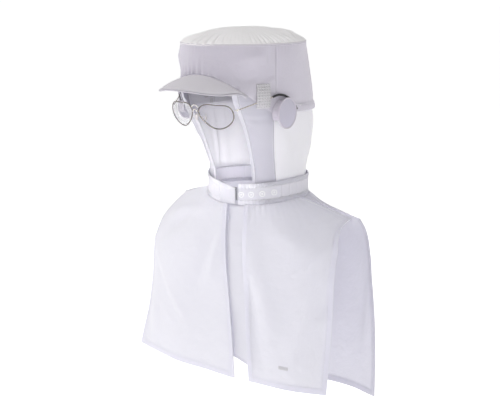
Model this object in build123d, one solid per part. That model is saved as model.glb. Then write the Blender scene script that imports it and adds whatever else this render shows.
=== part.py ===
from build123d import *
import os
from math import atan2, cos, degrees, hypot, pi, radians, sin, sqrt

# Clean-room hood with a peaked cap, ear covers, spectacle loops, a snap neck band and a
# slit shoulder cape.  Millimetres, +Z up, the wearer looks along -Y and +X is the
# wearer's left.  The origin is the centre of the cap's head opening.

# ---- driving dimensions: cloth
CLOTH = 1.2              # one solid of cloth, seam allowances included
THIN = 1.0               # linings and tapes
SEAM_GAP = 0.3           # butt gap between two sewn pieces

# ---- cap
CAP_TOP, CAP_BOTTOM = 89.8, -5.0
REAR_BOTTOM = -12.0                # lower edge of the cap at the back
CAP_SIDE = (87.0, 84.0)            # half width at the bottom and at the top
CAP_FRONT = (106.0, 103.0)         # reach forward of the origin, bottom and top
CAP_BACK = (133.0, 104.0)          # reach back of the origin, bottom and top
CROWN_RISE = 21.0
SIDE_SEAM = 72.0                   # angle of the cap's side seams, from the front
VISOR_SEAM_TOP = 49.0              # height of the visor seam at the centre
VISOR_SEAM_SPAN = 68.0             # angle where the seam's arch meets the lower edge
VISOR_HALF = 46.0                  # half angle of the visor along its seam
VISOR_EDGE = (66.0, 72.0, 92.0)    # half width, root and reach of the visor's outer edge
VISOR_EDGE_Z = (24.0, 32.5)        # height of the outer edge at its ends and at its tip
VISOR_LAYER = 1.9                  # drop from each of the visor's layers to the next

# ---- hood: the free face edge and the seam behind the cheek, wearer's left
FACE_EDGE = [(44.6, -84.0, 12), (43.0, -75.0, 0), (41.0, -63.0, -15), (40.0, -53.5, -30),
             (38.0, -40.0, -60), (35.7, -28.6, -90), (34.5, -24.6, -105), (34.0, -24.4, -118)]
CHEEK_SEAM = [(79.0, -34.0, 12), (78.3, -32.5, 0), (76.0, -30.0, -25), (66.0, -15.0, -61),
              (62.6, -7.0, -90), (62.0, -4.6, -105), (61.8, -4.3, -118)]
# height: outward bow of the cheek, as a share of its width
CHEEK_BOW = {12: (0.10,), -40: (0.125,), -85: (0.095,), -105: (0.06,), -118: (0.03,)}
# height: (centre, half width, front, back) of the drape's rings
DRAPE = {10: (0, 84.0, 101, 125.0), -8: (0, 84.0, 101, 129.5), -25: (8, 83.6, 89, 125.5),
         -60: (20, 81.5, 59, 105), -90: (31, 78, 63, 77), -105: (35, 77, 67, 67), -118: (35, 77, 67, 67)}

# ---- neck band
NECK_A, NECK_B, NECK_Y = 80.0, 70.0, 35.0
BAND_TOP = (-108.0, -117.0)        # top edge at the back and at the front
BAND_BOTTOM = (-139.0, -148.0)
CASING = 6.5                       # height of the hemmed casings
BAND_GAP = (7.0, 10.5)             # the open closure, as angles from the front
TAB_ROOT = -14.5
TAB_SLOPE = 6.0                    # fall of the tab's top edge towards its free end
TAPE_END = 60.0
SNAP_ANGLES = (15.0, 26.0, 38.0, 51.0)

# ---- cape
CREASE_Z = -200.0
FRONT_HEM_Z = -406.0
SHOULDER_TIP = (166.0, 60.0, -166.0)
# height: (depth at the centre, slit edge x, slit edge y) of the front
FRONT = {-200: (-64, 168, 3), -240: (-70, 172, -13), -300: (-72, 174.5, -20),
         -350: (-71.5, 176, -27), -406: (-70, 180, -42)}
# height: x of the closure edges, the wearer's right then left
CLOSURE = {-150: (0, 32), -200: (14, 45.5), -242: (21, 51), -302: (28, 54), -350: (33, 57),
           -406: (35, 60)}
# height: (depth at the centre, slit edge x) of the back; its side edge hangs at BACK_EDGE_Y
BACK = {-200: (112, 185), -244: (113, 191.5), -290: (111, 196.5), -340: (107, 199.5), -438: (98, 201)}
BACK_EDGE_Y = 60.0
BACK_HEM = (-438.0, -448.0)        # height at the side edges and at the centre
CREASE_GAP = 1.6
CAPE_TURN = 2.6                    # how late the cape's width curve turns towards the slits
PLACKET_BEHIND = 4.6               # how far the loose strip hangs behind the fronts

# ---- ear covers
EAR_Y, EAR_Z, EAR_R, EAR_X = -20.0, -7.0, 22.5, 92.0

# ---- spectacles
LENS_CENTRE = (29.5, -103.5, -8.5)
LENS_OUTLINE = [(-21.5, 14.0), (-25.5, 8.0), (-17.5, -7.0), (0.5, -17.5), (18.5, -12.0),
                (27.3, 1.5), (23.0, 13.5), (0.0, 16.8)]
RIM_R = 0.75
LENS_THICK = 1.8
NOSE_PAD = (8.3, -99.0, -11.6)
TEMPLE = [(59.1, -89.2, 2.2), (72.3, -62.5, 10.6), (83.2, -43.0, 17.4)]
TIP = [(87.5, -27.0, 19.4), (89.2, -14.0, 15.0), (89.6, 8.0, -3.5)]

nodes = {}


# ---- small helpers
def mix(a, b, t):
    return a + (b - a) * t


def smooth(table, at):
    """Value of a height-keyed table, by cubic interpolation; tuples go item by item."""
    keys = sorted(table)
    at = min(max(at, keys[0]), keys[-1])
    k = max(i for i in range(len(keys) - 1) if keys[i] <= at)
    first, last = keys[k], keys[k + 1]
    before, after = keys[max(k - 1, 0)], keys[min(k + 2, len(keys) - 1)]
    span = last - first
    t = (at - first) / span
    value = []
    for i in range(len(table[first])):
        p0, p1, p2, p3 = (table[key][i] for key in (before, first, last, after))
        m1 = (p2 - p0) / (last - before) * span
        m2 = (p3 - p1) / (after - first) * span
        value.append((2 * t**3 - 3 * t**2 + 1) * p1 + (t**3 - 2 * t**2 + t) * m1
                     + (3 * t**2 - 2 * t**3) * p2 + (t**3 - t**2) * m2)
    return value


def oval(side, front, back, angle, centre=0.0, out=0.0):
    """Plan point of an oval, with the angle in degrees from the front towards the left."""
    s, c = sin(radians(angle)), cos(radians(angle))
    reach = front if c > 0 else back
    return (side + out) * s, centre - (reach + out) * c


def row_normals(rows):
    """Unit normals of a grid of vectors, by differences."""
    last_row, last_col = len(rows) - 1, len(rows[0]) - 1
    result = []
    for i, row in enumerate(rows):
        line = []
        for j in range(len(row)):
            down = rows[min(i + 1, last_row)][j] - rows[max(i - 1, 0)][j]
            across = row[min(j + 1, last_col)] - row[max(j - 1, 0)]
            line.append(down.cross(across).normalized())
        result.append(line)
    return result


def edge_distance(a, b):
    """How far apart two edges lie, whichever way each runs."""
    straight = (a @ 0 - b @ 0).length + (a @ 1 - b @ 1).length
    turned = (a @ 0 - b @ 1).length + (a @ 1 - b @ 0).length
    return min(straight, turned) + (a @ 0.5 - b @ 0.5).length


def sheet(rows, thickness=CLOTH):
    """Closed solid of a sheet whose middle surface passes through a grid of points."""
    grid = [[Vector(*point) for point in row] for row in rows]
    normals = row_normals(grid)
    skins = []
    for side in (0.5, -0.5):
        shifted = [[p + n * (side * thickness) for p, n in zip(row, line)]
                   for row, line in zip(grid, normals)]
        skins.append(Face.make_surface_from_array_of_points(shifted, min_deg=3, max_deg=3))
    walls = []
    for edge in skins[0].edges():
        partner = min(skins[1].edges(), key=lambda other: edge_distance(edge, other))
        walls.append(Face.make_surface_from_curves(edge, partner))
    return Solid(Shell(skins + walls))


def grid(point, rows, columns):
    """Points of point(u, v) with u across and v down, both from 0 to 1."""
    return [[point(j / (columns - 1), i / (rows - 1)) for j in range(columns)] for i in range(rows)]


def tube(path, radius):
    """Round bar along a path."""
    start = Plane(origin=path @ 0, z_dir=path % 0)
    return sweep(start * Circle(radius), path=path)


def mirrored(solid):
    return mirror(solid, about=Plane.YZ)


def both_sides(name, solid):
    nodes["left_" + name] = solid
    nodes["right_" + name] = mirrored(solid)


# ---- cap
def cap_point(angle, z, out=0.0):
    t = (z - CAP_BOTTOM) / (90.0 - CAP_BOTTOM)
    side, front, back = (mix(*pair, t) for pair in (CAP_SIDE, CAP_FRONT, CAP_BACK))
    return *oval(side, front, back, angle, out=out), z


def arch(angle, span):
    """1 at the front, falling to 0 at the span."""
    return max(0.0, 1 - (angle / span) ** 2) ** 1.3


def wall_bottom(angle):
    return mix(CAP_BOTTOM, VISOR_SEAM_TOP, arch(angle, VISOR_SEAM_SPAN))


def rear_bottom(angle):
    """The lower edge dips behind the ears and stays low round the back."""
    from_seam = min(1.0, (90 - abs(angle - 180) / 1.2) / 60)
    return mix(CAP_BOTTOM, REAR_BOTTOM, sin(max(0.0, from_seam) * pi / 2))


def cap_wall(start, stop, low, columns):
    def point(u, v):
        angle = mix(start, stop, u)
        return cap_point(angle, mix(CAP_TOP, low(angle), v))
    return sheet(grid(point, 9, columns))


def crown():
    """Domed top: a shallow bowl of revolution, stretched to the cap's oval."""
    rim, z0 = 100.6, CAP_TOP + 0.3
    top, shoulder = z0 + CROWN_RISE, z0 + CROWN_RISE * 0.76
    outer = ThreePointArc((0, 0, top), (55, 0, shoulder), (rim, 0, z0 + CLOTH))
    inner = ThreePointArc((rim, 0, z0), (55, 0, shoulder - CLOTH), (0, 0, top - CLOTH))
    axis_line = Line(inner @ 1, outer @ 0)
    rim_line = Line(outer @ 1, inner @ 0)
    bowl = revolve(make_face([outer, rim_line, inner, axis_line]), axis=Axis.Z)
    return scale(bowl, by=(0.84, 1.035, 1))


def piping():
    ring = Pos(0, 0, CAP_TOP) * Torus(102.4, 1.2)
    return scale(ring, by=(0.84, 1.035, 1))


def inner_band(start, stop, low, height, inset):
    def point(u, v):
        angle = mix(start, stop, u)
        return cap_point(angle, low(angle) + height * (1 - v), -inset)
    return sheet(grid(point, 4, 31), THIN)


def make_cap():
    nodes["crown_panel"] = crown()
    nodes["crown_piping"] = piping()
    nodes["cap_front_panel"] = cap_wall(-SIDE_SEAM, SIDE_SEAM, wall_bottom, 49)
    nodes["cap_rear_panel"] = cap_wall(SIDE_SEAM + 0.25, 360 - SIDE_SEAM - 0.25, rear_bottom, 49)
    nodes["sweatband"] = inner_band(-70, 70, lambda a: mix(14, 22, arch(a, 72)), 24, 2.2)
    nodes["rear_elastic"] = inner_band(100, 260, lambda a: -9.0, 10, 1.3)


# ---- visor
def visor_edge(t):
    half_width, root, reach = VISOR_EDGE
    s, c = sin(radians(t)), cos(radians(t))
    return half_width * s, -root - reach * c, mix(*VISOR_EDGE_Z, abs(c) ** 3)


def visor_point(across, down, drop=0.0, margin=0.0):
    """across is -1 to 1, down is 0 at the seam and 1 at a margin short of the outer edge."""
    angle = VISOR_HALF * across
    seam = Vector(*cap_point(angle, wall_bottom(angle), 1.8))
    reach = Vector(*visor_edge(86 * across)) - seam
    down *= 1 - margin / reach.length
    crown_up = 10 * down * (1 - down) * (1 - across**2)
    return seam + reach * down + Vector(0, 0, crown_up - drop)


def visor_layer(drop, thickness, margin):
    def point(u, v):
        return visor_point(mix(-0.95, 0.95, u), v, drop, margin)
    return sheet(grid(point, 9, 41), thickness)


def make_visor():
    nodes["visor_upper_cover"] = visor_layer(0.0, THIN, 2.6)
    nodes["visor_stiffener"] = visor_layer(VISOR_LAYER, 1.4, 3.4)
    nodes["visor_lower_cover"] = visor_layer(2 * VISOR_LAYER, THIN, 3.4)
    rim_points = [visor_point(across / 12, 1.0, VISOR_LAYER) for across in range(-12, 13)]
    nodes["visor_binding"] = tube(Spline(*rim_points), 1.6)


# ---- hood
def cheek_point(across, down):
    """across is 0 at the face edge and 1 at the cheek seam; down runs from the cap to the neck."""
    front = face_curve @ down
    back = seam_curve @ down
    chord = back - front
    bow = smooth(CHEEK_BOW, front.Z)[0] * chord.length * 4 * across * (1 - across)
    return front + chord * across + Vector(chord.Y, -chord.X, 0).normalized() * bow


def drape_point(across, down):
    """across runs round the back, from the left cheek seam to the right one."""
    z = mix(10.0, -118.0, down)
    centre, side, front, back = smooth(DRAPE, z)
    seam = seam_curve.position_at(down)
    start = degrees(atan2(seam.X / side, (centre - seam.Y) / front)) + 0.6
    angle = mix(start, 360 - start, across)
    return *oval(side, front, back, angle, centre), z


def make_hood():
    both_sides("cheek_panel", sheet(grid(lambda u, v: cheek_point(mix(0.135, 0.985, u), v), 15, 11)))
    both_sides("face_binding", sheet(grid(lambda u, v: cheek_point(0.125 * u, v), 15, 4), 2.0))
    nodes["rear_drape"] = sheet(grid(drape_point, 15, 61))


# ---- spectacle loops and ear covers
def loop_point(across, down):
    rise = 1.15 + 4.5 * sin(pi * down) ** 0.6
    return cap_point(mix(53.5, 65.5, across), mix(36.0, 2.0, down), rise)


def ear_gusset():
    """Short cloth wall between the cap and the front of the ear cover."""
    def point(u, v):
        a = radians(mix(112, 205, u))
        y, z = EAR_Y + 21.0 * cos(a), EAR_Z + 21.0 * sin(a)
        wall_x = CAP_SIDE[0] * sqrt(1 - (y / CAP_FRONT[0]) ** 2)
        return mix(wall_x + 1.3, EAR_X - 0.6, v), y, z
    return sheet(grid(point, 4, 13), THIN)


def make_side_pieces():
    both_sides("glasses_loop", sheet(grid(loop_point, 13, 7), THIN))
    facing = Plane(origin=(EAR_X, EAR_Y, EAR_Z), z_dir=(1, 0, 0))
    mesh = extrude(facing.offset(0.5) * Circle(EAR_R - 2.2), THIN)
    rim = extrude(facing * (Circle(EAR_R) - Circle(EAR_R - 2.1)), 2.0)
    both_sides("ear_mesh", mesh)
    both_sides("ear_rim", rim)
    both_sides("ear_gusset", ear_gusset())


# ---- neck band
def frontness(angle):
    return max(0.0, cos(radians(angle))) ** 2


def band_edges(angle):
    return mix(*BAND_TOP, frontness(angle)), mix(*BAND_BOTTOM, frontness(angle))


def band_strip(start, stop, part, thickness, out=0.0):
    """Part of the band between two angles: part is top, middle, bottom or whole."""
    def point(u, v):
        angle = mix(start, stop, u)
        top, bottom = band_edges(angle)
        inner_top, inner_bottom = top - CASING, bottom + CASING
        high, low = {"top": (top, inner_top), "bottom": (inner_bottom, bottom),
                     "whole": (top - TAB_SLOPE * u, bottom),
                     "middle": (inner_top - SEAM_GAP, inner_bottom + SEAM_GAP)}[part]
        return *oval(NECK_A, NECK_B, NECK_B, angle, NECK_Y, out), mix(high, low, v)
    return sheet(grid(point, 4, max(6, int((stop - start) / 6) + 1)), thickness)


def band_plane(angle, out):
    """Plane that faces out of the band, at the middle of its height."""
    x, y = oval(NECK_A, NECK_B, NECK_B, angle, NECK_Y, out)
    outward = Vector(sin(radians(angle)) / NECK_A, -cos(radians(angle)) / NECK_B, 0).normalized()
    return Plane(origin=(x, y, sum(band_edges(angle)) / 2), z_dir=outward)


def ring_snap(angle):
    face = band_plane(angle, 1.15)
    ring = extrude(face * (Circle(4.5) - Circle(3.0)), 1.3)
    socket = extrude(face * Circle(1.6), 0.9)
    return [ring, socket]


def make_neck():
    last = 360 + TAB_ROOT - 0.3
    nodes["snap_tape"] = band_strip(BAND_GAP[1], TAPE_END, "middle", 1.8)
    nodes["neck_elastic"] = band_strip(TAPE_END + 0.3, 360 - TAPE_END, "middle", 1.8)
    nodes["right_neck_tape"] = band_strip(360 - TAPE_END + 0.3, last, "middle", 1.8)
    nodes["band_top_casing"] = band_strip(BAND_GAP[1], last, "top", 2.6)
    nodes["band_bottom_casing"] = band_strip(BAND_GAP[1], last, "bottom", 2.6)
    nodes["ring_snaps"] = Compound(children=[solid for a in SNAP_ANGLES for solid in ring_snap(a)])
    nodes["neck_tab"] = band_strip(TAB_ROOT + 0.6, BAND_GAP[0], "whole", 1.8)
    inside = band_plane(BAND_GAP[0] - 6, -1.2)
    back = Plane(origin=inside.origin, z_dir=-inside.z_dir)
    nodes["tab_stud"] = extrude(back * Circle(4.2), 0.8) + extrude(back * Circle(1.5), 2.4)


# ---- cape
def cape_depth(x, centre, edge_x, edge_y):
    """Depth of the cape at a width: flat over the chest and turning in at the slit."""
    return mix(centre, edge_y, min(1.0, abs(x) / edge_x) ** CAPE_TURN)


def front_point(x, z, back=0.0):
    """Point of the front at a height below the crease."""
    return x, cape_depth(x, *smooth(FRONT, z)) + back, z


def back_point(x, z):
    return x, cape_depth(x, *smooth(BACK, z), BACK_EDGE_Y), z


def neck_point(angle):
    """Start of the cape at the band's lower edge."""
    x, y = oval(NECK_A, NECK_B, NECK_B, angle, NECK_Y, 1.4)
    return Vector(x, y, band_edges(angle)[1] - 0.9)


def yoke(outer_points, neck_start, neck_end, bulge, columns=29):
    """Shoulder part of the cape, from the band out to a curve of outer points."""
    outer = Spline(*outer_points)
    turn = neck_end - neck_start

    def point(u, v):
        inner = neck_point(neck_start + turn * u)
        edge = outer @ u
        lift = Vector(0, 0, 4 * v * (1 - v) * bulge(u))
        return inner + (edge - inner) * v + lift
    return sheet(grid(point, 9, columns))


def front_yoke(sign, closure_x, neck_start):
    z = CREASE_Z + CREASE_GAP / 2
    crease = [front_point(mix(closure_x, sign * 168, t), z) for t in (0, 0.2, 0.4, 0.6, 0.8, 0.93, 1)]
    tip_x, tip_y, tip_z = SHOULDER_TIP
    slit = [(sign * 165.5, 22, -183), (sign * 164.5, 42, -171.5), (sign * tip_x, tip_y - 0.7, tip_z)]
    return yoke(crease + slit, neck_start, sign * 89.5, lambda u: mix(10, 1.5, u**2))


def back_yoke():
    z = CREASE_Z + CREASE_GAP / 2
    tip = Vector(*SHOULDER_TIP) + Vector(3, 0.7, 0.6)
    side = [tuple(tip), (178.5, 60.5, -180)]
    crease = [back_point(BACK[-200][1] * t, z) for t in (0.995, 0.93, 0.8, 0.6, 0.4, 0.2)]
    half = side + crease
    whole = half + [back_point(0, z)] + [(-x, y, z_) for x, y, z_ in reversed(half)]
    return yoke(whole, 90.2, 269.8, lambda u: mix(2, 11, sin(pi * u)), 57)


def front_flap(sign, column):
    """Hanging front below the crease; column picks this side's closure edge."""
    def point(u, v):
        z = mix(CREASE_Z - CREASE_GAP / 2, FRONT_HEM_Z, v)
        start = smooth(CLOSURE, z)[column]
        return front_point(mix(start, sign * smooth(FRONT, z)[1], u), z)
    return sheet(grid(point, 15, 23))


def back_flap():
    def point(u, v):
        across = mix(-1, 1, u)
        end = mix(*BACK_HEM, 1 - across**2)
        z = mix(CREASE_Z - CREASE_GAP / 2, end, v)
        return back_point(across * smooth(BACK, z)[1], z)
    return sheet(grid(point, 15, 41))


def placket():
    """Loose strip behind the closure, with a slanted lower end."""
    def point(u, v):
        low = mix(-372, -386, u)
        z = mix(-158.0, low, v)
        right, left = smooth(CLOSURE, z)
        x = mix(right - 7, left + 9, u)
        if z > CREASE_Z:
            lean = mix(-64, -36, ((z - CREASE_Z) / 50) ** 1.4)
            return x, lean + PLACKET_BEHIND + 0.002 * x * x, z
        return front_point(x, z, PLACKET_BEHIND)
    return sheet(grid(point, 17, 6), THIN)


def size_label():
    def point(u, v):
        return Vector(*front_point(mix(108, 122, u), mix(-371, -377, v))) + Vector(0.20, -1.15, 0)
    return sheet(grid(point, 4, 4), 0.5)


def make_cape():
    nodes["left_front_yoke"] = front_yoke(1, 45.5, 17.5)
    nodes["right_front_yoke"] = front_yoke(-1, 14, -2.4)
    nodes["back_yoke"] = back_yoke()
    nodes["left_front_panel"] = front_flap(1, 1)
    nodes["right_front_panel"] = front_flap(-1, 0)
    nodes["back_panel"] = back_flap()
    nodes["placket_strip"] = placket()
    nodes["size_label"] = size_label()


# ---- spectacles
def lens_plane():
    outward = Vector(50, 15, 0).normalized()
    up = Vector(0, -0.19, 0.98)
    up = (up - outward * up.dot(outward)).normalized()
    return Plane(origin=LENS_CENTRE, x_dir=outward, z_dir=outward.cross(up))


def scaled_outline(plane, inset):
    points = []
    for u, v in LENS_OUTLINE:
        shrink = 1 - inset / hypot(u, v)
        points.append(plane.from_local_coords(Vector(u * shrink, v * shrink, 0)))
    return Spline(*points, periodic=True)


def bar(plane, points, radius):
    """Round bar through points given in a lens's own frame: outward, up, forward."""
    return tube(Spline(*[plane.from_local_coords(Vector(*point)) for point in points]), radius)


def bridge_bar(plane, end, middle, radius):
    """Bar from one rim to the other, arched over the nose."""
    start = plane.from_local_coords(Vector(*end))
    far = Vector(-start.X, start.Y, start.Z)
    return tube(Spline(start, Vector(0, *middle), far), radius)


def ellipsoid(place, half_sizes, turn):
    """Ellipsoid of the given half sizes, turned about Z and set at a place."""
    return Pos(*place) * Rot(0, 0, turn) * scale(Sphere(1), by=half_sizes)


def make_spectacles():
    plane = lens_plane()
    both_sides("rim", tube(scaled_outline(plane, 0), RIM_R))
    lens_back = plane.offset(-LENS_THICK / 2)
    both_sides("lens", extrude(make_face(scaled_outline(lens_back, 1.15)), LENS_THICK, dir=plane.z_dir))
    nodes["brow_bar"] = bridge_bar(plane, (-25.6, 12.6, 0), (-114.4, 7.6), 0.8)
    nodes["nose_bridge"] = bridge_bar(plane, (-27.1, 6.4, 0), (-113.4, 1.4), 0.8)
    both_sides("pad_arm", bar(plane, [(-20.6, -2.2, -1.7), (-21.6, -2.4, -4.6), (-20.4, -2.9, -7.2)], 0.5))
    both_sides("nose_pad", ellipsoid(NOSE_PAD, (1.3, 2.6, 5.2), 32))
    both_sides("end_piece", tube(Spline((57.4, -94.8, 1.7), (58.2, -94.2, 1.8), (58.6, -92.7, 1.9)), 0.9))
    both_sides("hinge_barrel", Pos(58.5, -91.2, 1.9) * Cylinder(1.15, 3.6))
    both_sides("temple", tube(Spline(*TEMPLE), 0.8))
    last = Vector(*TEMPLE[-1])
    start = last + (Vector(*TIP[0]) - last).normalized() * 1.0
    both_sides("temple_tip", tube(Spline(start, *TIP), 1.7))


def write_parts():
    os.makedirs("parts", exist_ok=True)
    for name, shape in nodes.items():
        shape.label = name
        export_step(shape, os.path.join("parts", name + ".step"))


face_curve = Spline(*FACE_EDGE)
seam_curve = Spline(*CHEEK_SEAM)
make_cap()
make_visor()
make_hood()
make_side_pieces()
make_neck()
make_cape()
make_spectacles()
write_parts()
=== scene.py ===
from math import cos, pi, radians, sin

import bpy
import numpy as np
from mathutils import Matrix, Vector


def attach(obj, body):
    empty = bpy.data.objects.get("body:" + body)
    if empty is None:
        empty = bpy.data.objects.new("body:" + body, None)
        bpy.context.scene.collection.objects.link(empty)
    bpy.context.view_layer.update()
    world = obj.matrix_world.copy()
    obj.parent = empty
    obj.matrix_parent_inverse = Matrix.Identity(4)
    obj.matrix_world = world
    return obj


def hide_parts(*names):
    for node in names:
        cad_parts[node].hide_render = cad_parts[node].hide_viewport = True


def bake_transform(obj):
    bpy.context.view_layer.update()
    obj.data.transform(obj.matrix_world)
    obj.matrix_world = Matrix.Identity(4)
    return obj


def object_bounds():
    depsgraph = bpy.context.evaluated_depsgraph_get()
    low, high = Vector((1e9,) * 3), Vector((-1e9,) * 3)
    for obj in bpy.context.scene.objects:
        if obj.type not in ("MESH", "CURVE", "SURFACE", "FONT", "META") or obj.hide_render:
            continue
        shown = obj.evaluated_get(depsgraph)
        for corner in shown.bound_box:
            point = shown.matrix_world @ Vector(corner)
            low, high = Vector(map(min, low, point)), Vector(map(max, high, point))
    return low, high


# The looks of a clean-room hood with a peaked cap, ear covers, spectacle loops, a snap neck
# band and a slit shoulder cape.  Surfaces are worked out in millimetres, in the part's own
# frame, and turned into metres where a mesh is made.

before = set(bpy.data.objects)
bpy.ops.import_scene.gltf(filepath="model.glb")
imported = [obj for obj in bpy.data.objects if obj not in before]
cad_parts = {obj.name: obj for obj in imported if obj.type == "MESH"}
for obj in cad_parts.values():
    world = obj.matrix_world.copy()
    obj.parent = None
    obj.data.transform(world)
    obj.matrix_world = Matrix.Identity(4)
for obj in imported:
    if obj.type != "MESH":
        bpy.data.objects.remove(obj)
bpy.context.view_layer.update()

MM = 0.001
MIRROR = np.array([-1.0, 1.0, 1.0])

# ---- cloth thicknesses
MESH, SINGLE, DOUBLE, KNIT, WEBBING, CASED, BOUND = 0.7, 0.8, 0.9, 1.0, 1.5, 1.7, 1.9
LABEL, BOARD = 0.45, 1.2

# ---- cap (the same driving dimensions as the part); pairs are at its lower and upper edge
CAP_TOP, CAP_BOTTOM = 89.8, -5.0
REAR_BOTTOM = -12.0
CAP_SIDE = (87.0, 84.0)
CAP_FRONT = (106.0, 103.0)
CAP_BACK = (133.0, 104.0)
CROWN_RISE, CROWN_REACH = 20.0, 94.0  # height of the dome, and its middling radius
CROWN_CENTRE_FLAT = 2.7  # how flat the dome is in its middle
RIM_RUN, REAR_RUN = 1.63, 1.9  # millimetres of the crown's rim and of the rear wall per degree
SIDE_SEAM = 72.0
CAP_SLACK = 3.0
DEEPEST = 1.2  # how far the wall may dip towards the sweatband behind it
VISOR_PUCKERS = 5.0
VISOR_SEAM_TOP, VISOR_SEAM_SPAN, VISOR_HALF = 49.0, 68.0, 46.0
VISOR_EDGE = (66.0, 72.0, 92.0)
VISOR_EDGE_Z = (24.0, 32.5)
VISOR_LAYER = 1.9

# ---- hood
FACE_EDGE = [(44.6, -84.0, 12), (43.0, -75.0, 0), (41.0, -63.0, -15), (40.0, -53.5, -30),
             (38.0, -40.0, -60), (35.7, -28.6, -90), (34.5, -24.6, -105), (34.0, -24.4, -118)]
CHEEK_SEAM = [(79.0, -34.0, 12), (78.3, -32.5, 0), (76.0, -30.0, -25), (66.0, -15.0, -61),
              (62.6, -7.0, -90), (62.0, -4.6, -105), (61.8, -4.3, -118)]
CHEEK_BOW = {12: (0.10,), -40: (0.125,), -85: (0.095,), -105: (0.06,), -118: (0.03,)}
DRAPE_TOP, DRAPE_END, DRAPE_SHARE = 10.0, -118.0, 0.96  # the share ends just inside the band
DRAPE = {10: (0, 84.0, 101, 125.0), -8: (0, 84.0, 101, 129.5), -25: (8, 83.6, 89, 125.5),
         -60: (20, 81.5, 59, 105), -90: (31, 78, 63, 77), -105: (35, 77, 67, 67), -118: (35, 77, 67, 67)}
TAPE_SHARE = 0.125  # share of the cheek's width that the face tape covers
EAR_Y, EAR_Z, EAR_R, EAR_X = -20.0, -7.0, 22.5, 92.0
EAR_HEM_R = 1.15

# ---- neck band
NECK_A, NECK_B, NECK_Y = 80.0, 70.0, 35.0
NECK_RUN = 1.3  # millimetres of the band per degree
BAND_COVERED = 22.0  # how far the cheeks run down inside the band
BAND_TOP, BAND_BOTTOM = (-108.0, -117.0), (-139.0, -148.0)
CASING = 6.5
GAP_START, GAP_END, TONGUE_START = 7.0, 10.5, 1.0
TAB_ROOT, TAB_SLOPE, TAPE_END = -14.5, 6.0, 60.0

# ---- cape: the tables reach up to the shoulder's tip, where the slits start
FRONT = {-166: (-52, 166, 60), -171.5: (-56, 164.5, 42), -183: (-60, 165.5, 22), -200: (-64, 168, 3),
         -240: (-70, 172, -13), -300: (-72, 174.5, -20), -350: (-71.5, 176, -27), -406: (-70, 180, -42)}
CLOSURE = {-150: (0, 32), -200: (14, 45.5), -242: (21, 51), -302: (28, 54), -350: (33, 57),
           -406: (35, 60)}
BACK = {-166: (102, 168.5), -180: (108, 178.5), -200: (112, 185), -244: (113, 191.5),
        -290: (111, 196.5), -340: (107, 199.5), -438: (98, 201)}
CREASE_Z, TIP_Z, FRONT_HEM_Z = -200.0, -166.0, -406.0
BACK_EDGE_Y, BACK_HEM = 60.0, (-438.0, -448.0)
CAPE_TURN = 2.6
PLACKET_BEHIND, PLACKET_TOP = 4.6, -149.0
HEM, HEM_EXTRA = 9.0, 0.8
HEMMED = ["left", "right", "bottom"]  # the sides of the cape's sheets that are hemmed
REAR_HEM = 11.0
SLIT_TURN = 89.85  # degrees round the neck to where a slit starts
YOKE_ROWS = 24  # rows of a cape sheet's grid above its slits
SLIT_DRAWN = (9.0, 6.0)  # how far the left front's upper corner is drawn in from its slit
FOLD_DEPTH = 2.6

# ---- thread
STITCH_PITCH, STITCH_LENGTH, STITCH_R, STITCH_LIFT = 3.1, 2.3, 0.26, 0.05
NEEDLE = 2.2  # a seam's stitches from its edge

# ---- looks
LIGHT_REACH = 3.0  # how far light travels inside the cloth


# ---- numbers and curves
def mix(a, b, t):
    return a + (b - a) * t


def ramp(x, a, b):
    """0 before a, 1 after b, and a soft step between them."""
    t = np.clip((x - a) / (b - a), 0, 1)
    return t * t * (3 - 2 * t)


def smooth(table, at):
    """Values of a keyed table at an array of places, by cubic interpolation, item by item."""
    keys = np.array(sorted(table), float)
    values = np.array([table[k] for k in sorted(table)], float)
    at = np.clip(at, keys[0], keys[-1])
    count = len(keys)
    before, after = np.maximum(np.arange(count) - 1, 0), np.minimum(np.arange(count) + 1, count - 1)
    slope = (values[after] - values[before]) / (keys[after] - keys[before])[:, None]
    k = np.clip(np.searchsorted(keys, at, side="right") - 1, 0, count - 2)
    span = (keys[k + 1] - keys[k])[..., None]
    t = (at - keys[k])[..., None] / span
    found = ((2 * t**3 - 3 * t**2 + 1) * values[k] + (t**3 - 2 * t**2 + t) * span * slope[k]
             + (3 * t**2 - 2 * t**3) * values[k + 1] + (t**3 - t**2) * span * slope[k + 1])
    return np.moveaxis(found, -1, 0)


def line_length(line):
    """Distance of each point of a line from its first one."""
    return np.concatenate([[0], np.cumsum(np.linalg.norm(np.diff(line, axis=0), axis=1))])


def curve(points):
    """Smooth curve through points, as a function of the share of its length."""
    points = np.array(points, float)
    keys = line_length(points)
    line = np.moveaxis(smooth(dict(zip(keys, points)), np.linspace(0, keys[-1], 400)), 0, -1)
    run = line_length(line)
    return lambda t: sample(t, run / run[-1], line)


def sample(places, keys, values):
    """Points read off at places along a line whose points stand at the keys."""
    return np.stack([np.interp(places, keys, values[:, i]) for i in range(3)], -1)


def point(x, y, z):
    return np.stack(np.broadcast_arrays(x, y, z), -1)


def unit(v):
    return v / np.maximum(np.linalg.norm(v, axis=-1, keepdims=True), 1e-9)


def bell(x, width, power=2):
    """1 where x is 0, and falling to 0 past a width on either side."""
    return np.exp(-(x / width) ** power)


def fading(x, reach):
    """1 where x is 0, and dying away over the reach."""
    return np.exp(-x / reach)


def turned(angle):
    """The same angle, between -180 and 180 degrees."""
    return (angle + 180) % 360 - 180


def oval(side, front, back, angle, centre=0.0, out=0.0):
    """Plan of an oval; the angle is in degrees from the front towards the wearer's left."""
    s, c = np.sin(np.radians(angle)), np.cos(np.radians(angle))
    reach = np.where(c > 0, front, back)
    return (side + out) * s, centre - (reach + out) * c


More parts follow.
